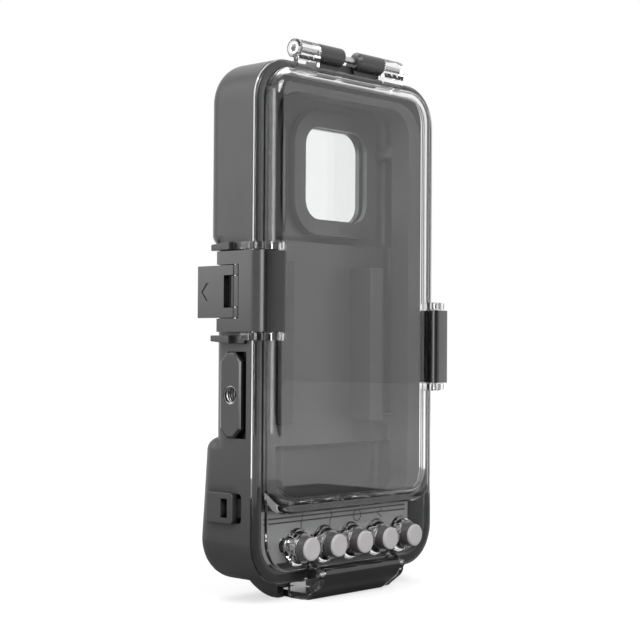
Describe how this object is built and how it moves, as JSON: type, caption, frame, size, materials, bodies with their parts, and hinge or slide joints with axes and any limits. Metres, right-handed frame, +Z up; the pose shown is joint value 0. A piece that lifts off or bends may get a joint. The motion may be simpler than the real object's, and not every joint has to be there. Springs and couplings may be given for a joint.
{
  "type": "underwater camera housing",
  "caption": "Dark underwater housing with a clear hinged front cover, three snap latches, a row of push buttons on its lower deck, a camera window in the back and a tripod socket.",
  "frame": {"origin": "on the underside of the bottom clamp at the middle of the housing's width, in the plane where shell and cover meet", "axes": "+X to the housing's right as seen from the front, -Y out of the clear front, +Z up to the hinge"},
  "size_m": [0.1142, 0.0424, 0.2173],
  "materials": {
    "shell_plastic": "satin moulded, fine grain",
    "latch_plastic": "satin moulded",
    "clear_plastic": "clear polished",
    "cap_plastic": "silver grey satin",
    "barrel_plastic": "dark satin",
    "panel_plastic": "dark satin",
    "seal_rubber": "smooth",
    "pad_rubber": "matte",
    "steel": "bright",
    "brass": "bright",
    "glass": "clear polished",
    "board": "green lacquer",
    "cell_wrap": "printed foil without print"
  },
  "bodies": {
    "back_shell": {"back_shell": "shell_plastic", "main_seal": "seal_rubber", "control_panel": "panel_plastic", "control_board": "board", "battery_cell_1": "cell_wrap", "battery_cell_2": "cell_wrap", "battery_tray": "panel_plastic", "cell_contact_left": "brass", "cell_contact_right": "brass", "device_cradle": "pad_rubber", "rest_pad_left": "pad_rubber", "rest_pad_right": "pad_rubber", "port_gasket": "seal_rubber", "port_pane": "glass", "port_ring": "latch_plastic", "port_screw_1": "steel", "port_screw_2": "steel", "port_screw_3": "steel", "port_screw_4": "steel", "tripod_plate": "latch_plastic", "thread_insert": "steel"},
    "front_cover": {"front_cover": "clear_plastic", "hinge_pin": "steel", "clamp_pin_left": "steel", "clamp_pin_right": "steel", "clamp_pin_bottom": "steel", "button_spring_1": "steel", "button_spring_2": "steel", "button_spring_3": "steel", "button_spring_4": "steel", "button_spring_5": "steel"},
    "clamp_left": {"clamp_left": "latch_plastic", "lever_pin_left": "steel"},
    "lever_left": {"lever_left": "latch_plastic"},
    "clamp_right": {"clamp_right": "latch_plastic", "lever_pin_right": "steel"},
    "lever_right": {"lever_right": "latch_plastic"},
    "clamp_bottom": {"clamp_bottom": "latch_plastic", "lever_pin_bottom": "steel"},
    "lever_bottom": {"lever_bottom": "latch_plastic"},
    "button_1": {"button_barrel_1": "barrel_plastic", "button_cap_1": "cap_plastic", "button_seal_1": "seal_rubber", "button_clip_1": "steel"},
    "button_2": {"button_barrel_2": "barrel_plastic", "button_cap_2": "cap_plastic", "button_seal_2": "seal_rubber", "button_clip_2": "steel"},
    "button_3": {"button_barrel_3": "barrel_plastic", "button_cap_3": "cap_plastic", "button_seal_3": "seal_rubber", "button_clip_3": "steel"},
    "button_4": {"button_barrel_4": "barrel_plastic", "button_cap_4": "cap_plastic", "button_seal_4": "seal_rubber", "button_clip_4": "steel"},
    "button_5": {"button_barrel_5": "barrel_plastic", "button_cap_5": "cap_plastic", "button_seal_5": "seal_rubber", "button_clip_5": "steel"}
  },
  "joints": [
    {"name": "cover_hinge", "type": "hinge", "parent": "back_shell", "child": "front_cover", "pos_m": [0, 0, 0.2135], "axis": [-1, 0, 0], "range_deg": [0, 115]},
    {"name": "clamp_left_hinge", "type": "hinge", "parent": "front_cover", "child": "clamp_left", "pos_m": [-0.0465, -0.0086, 0.1187], "axis": [0, 0, 1], "range_deg": [0, 100]},
    {"name": "lever_left_hinge", "type": "hinge", "parent": "clamp_left", "child": "lever_left", "pos_m": [-0.0557, 0.0058, 0.1187], "axis": [0, 0, 1], "range_deg": [0, 35]},
    {"name": "clamp_right_hinge", "type": "hinge", "parent": "front_cover", "child": "clamp_right", "pos_m": [0.0465, -0.0086, 0.0987], "axis": [0, 0, -1], "range_deg": [0, 100]},
    {"name": "lever_right_hinge", "type": "hinge", "parent": "clamp_right", "child": "lever_right", "pos_m": [0.0557, 0.0058, 0.0987], "axis": [0, 0, -1], "range_deg": [0, 35]},
    {"name": "clamp_bottom_hinge", "type": "hinge", "parent": "front_cover", "child": "clamp_bottom", "pos_m": [0, -0.0086, 0.0106], "axis": [-1, 0, 0], "range_deg": [0, 100]},
    {"name": "lever_bottom_hinge", "type": "hinge", "parent": "clamp_bottom", "child": "lever_bottom", "pos_m": [0, 0.0058, 0.0014], "axis": [-1, 0, 0], "range_deg": [0, 35]},
    {"name": "button_1_press", "type": "slide", "parent": "front_cover", "child": "button_1", "axis": [0, 1, 0], "range_m": [0, 0.0018], "stiffness_N_per_m": 400, "deforming": ["button_spring_1"]},
    {"name": "button_2_press", "type": "slide", "parent": "front_cover", "child": "button_2", "axis": [0, 1, 0], "range_m": [0, 0.0018], "stiffness_N_per_m": 400, "deforming": ["button_spring_2"]},
    {"name": "button_3_press", "type": "slide", "parent": "front_cover", "child": "button_3", "axis": [0, 1, 0], "range_m": [0, 0.0018], "stiffness_N_per_m": 400, "deforming": ["button_spring_3"]},
    {"name": "button_4_press", "type": "slide", "parent": "front_cover", "child": "button_4", "axis": [0, 1, 0], "range_m": [0, 0.0018], "stiffness_N_per_m": 400, "deforming": ["button_spring_4"]},
    {"name": "button_5_press", "type": "slide", "parent": "front_cover", "child": "button_5", "axis": [0, 1, 0], "range_m": [0, 0.0018], "stiffness_N_per_m": 400, "deforming": ["button_spring_5"]}
  ]
}
